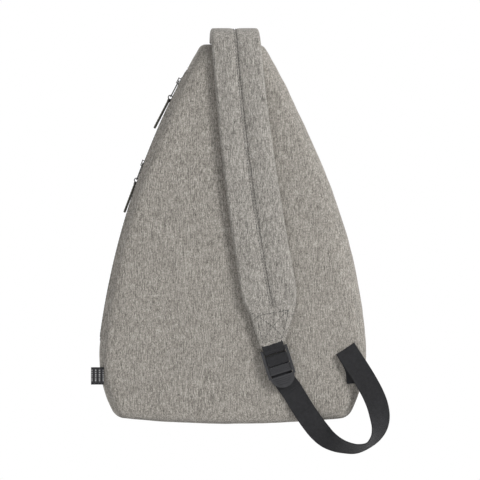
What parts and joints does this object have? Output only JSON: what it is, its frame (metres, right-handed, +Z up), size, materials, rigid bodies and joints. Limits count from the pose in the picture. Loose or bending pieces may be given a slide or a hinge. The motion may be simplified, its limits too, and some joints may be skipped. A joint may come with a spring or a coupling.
{
  "type": "sling bag",
  "caption": "Teardrop cloth sling bag with a padded cross-body strap, adjustable webbing loop, zipped main compartment and zipped front pocket.",
  "frame": {"origin": "inner top of the strap's arch, where a hook or rail carries the bag", "axes": "+Z up, -Y out of the panel that lies on the wearer's back, +X towards the adjuster webbing"},
  "size_m": [0.3441, 0.1266, 0.4906],
  "materials": {
    "heather_cloth": "woven melange polyester, matte",
    "foam": "soft closed-cell foam",
    "lining": "plain woven lining",
    "webbing": "woven polypropylene webbing",
    "lock_plastic": "moulded acetal, fine satin",
    "zip_metal": "gunmetal plating, worn edges",
    "zip_tape": "woven zip tape with nylon coil",
    "pull_cord": "twisted cord",
    "label": "woven label"
  },
  "bodies": {
    "bag": {"back_panel_cover": "heather_cloth", "back_panel_foam": "foam", "back_panel_lining": "lining", "front_panel": "heather_cloth", "gusset_top": "heather_cloth", "gusset_right": "heather_cloth", "gusset_bottom": "heather_cloth", "gusset_left_back": "heather_cloth", "gusset_left_front": "heather_cloth", "main_zip_tape_back": "zip_tape", "main_zip_tape_front": "zip_tape", "main_zip_coil_back": "zip_tape", "main_zip_coil_front": "zip_tape", "main_zip_stops": "zip_metal", "pocket_panel": "heather_cloth", "pocket_gusset_top": "heather_cloth", "pocket_gusset_right": "heather_cloth", "pocket_gusset_bottom": "heather_cloth", "pocket_gusset_left_back": "heather_cloth", "pocket_gusset_left_front": "heather_cloth", "pocket_zip_tape_back": "zip_tape", "pocket_zip_tape_front": "zip_tape", "pocket_zip_coil_back": "zip_tape", "pocket_zip_coil_front": "zip_tape", "pocket_zip_stops": "zip_metal", "strap_arch": "heather_cloth", "adjuster_webbing": "webbing", "side_label": "label"},
    "strap": {"strap_cover": "heather_cloth", "strap_padding": "foam", "strap_end_tab": "heather_cloth", "buckle_webbing": "webbing"},
    "lock": {"ladder_lock": "lock_plastic", "threaded_webbing": "webbing"},
    "main_slider_body": {"main_slider": "zip_metal"},
    "main_puller_body": {"main_puller": "zip_metal"},
    "main_cord_body": {"main_pull_ring": "zip_metal", "main_pull_cord": "pull_cord"},
    "pocket_slider_body": {"pocket_slider": "zip_metal"},
    "pocket_puller_body": {"pocket_puller": "zip_metal"},
    "pocket_cord_body": {"pocket_pull_ring": "zip_metal", "pocket_pull_cord": "pull_cord"}
  },
  "joints": [
    {"name": "main_zip_travel", "type": "hinge", "parent": "bag", "child": "main_slider_body", "pos_m": [0.74434, 0.012, -0.4654], "axis": [0, -1, 0], "range_deg": [0, 19]},
    {"name": "main_puller_lift", "type": "hinge", "parent": "main_slider_body", "child": "main_puller_body", "pos_m": [-0.06155, 0.012, -0.04945], "axis": [0, 1, 0], "range_deg": [0, 120]},
    {"name": "main_cord_swing", "type": "hinge", "parent": "main_puller_body", "child": "main_cord_body", "pos_m": [-0.071, 0.012, -0.06776], "axis": [0, 1, 0], "range_deg": [0, 80]},
    {"name": "pocket_zip_travel", "type": "hinge", "parent": "bag", "child": "pocket_slider_body", "pos_m": [0.74434, 0.06967, -0.46342], "axis": [0, -0.9973, -0.0732], "range_deg": [0, 12.4]},
    {"name": "pocket_puller_lift", "type": "hinge", "parent": "pocket_slider_body", "child": "pocket_puller_body", "pos_m": [-0.10402, 0.04619, -0.14372], "axis": [0, 0.9973, 0.0732], "range_deg": [0, 120]},
    {"name": "pocket_cord_swing", "type": "hinge", "parent": "pocket_puller_body", "child": "pocket_cord_body", "pos_m": [-0.1113, 0.04761, -0.16294], "axis": [0, 0.9973, 0.0732], "range_deg": [0, 80]},
    {"name": "strap_swing", "type": "hinge", "parent": "bag", "child": "strap", "pos_m": [0.0049, -0.019, -0.008], "axis": [-1, 0, 0], "range_deg": [0, 30]},
    {"name": "lock_tilt", "type": "hinge", "parent": "strap", "child": "lock", "pos_m": [0.0484, -0.0145, -0.36], "axis": [-0.9527, 0, -0.304], "range_deg": [0, 50]}
  ]
}
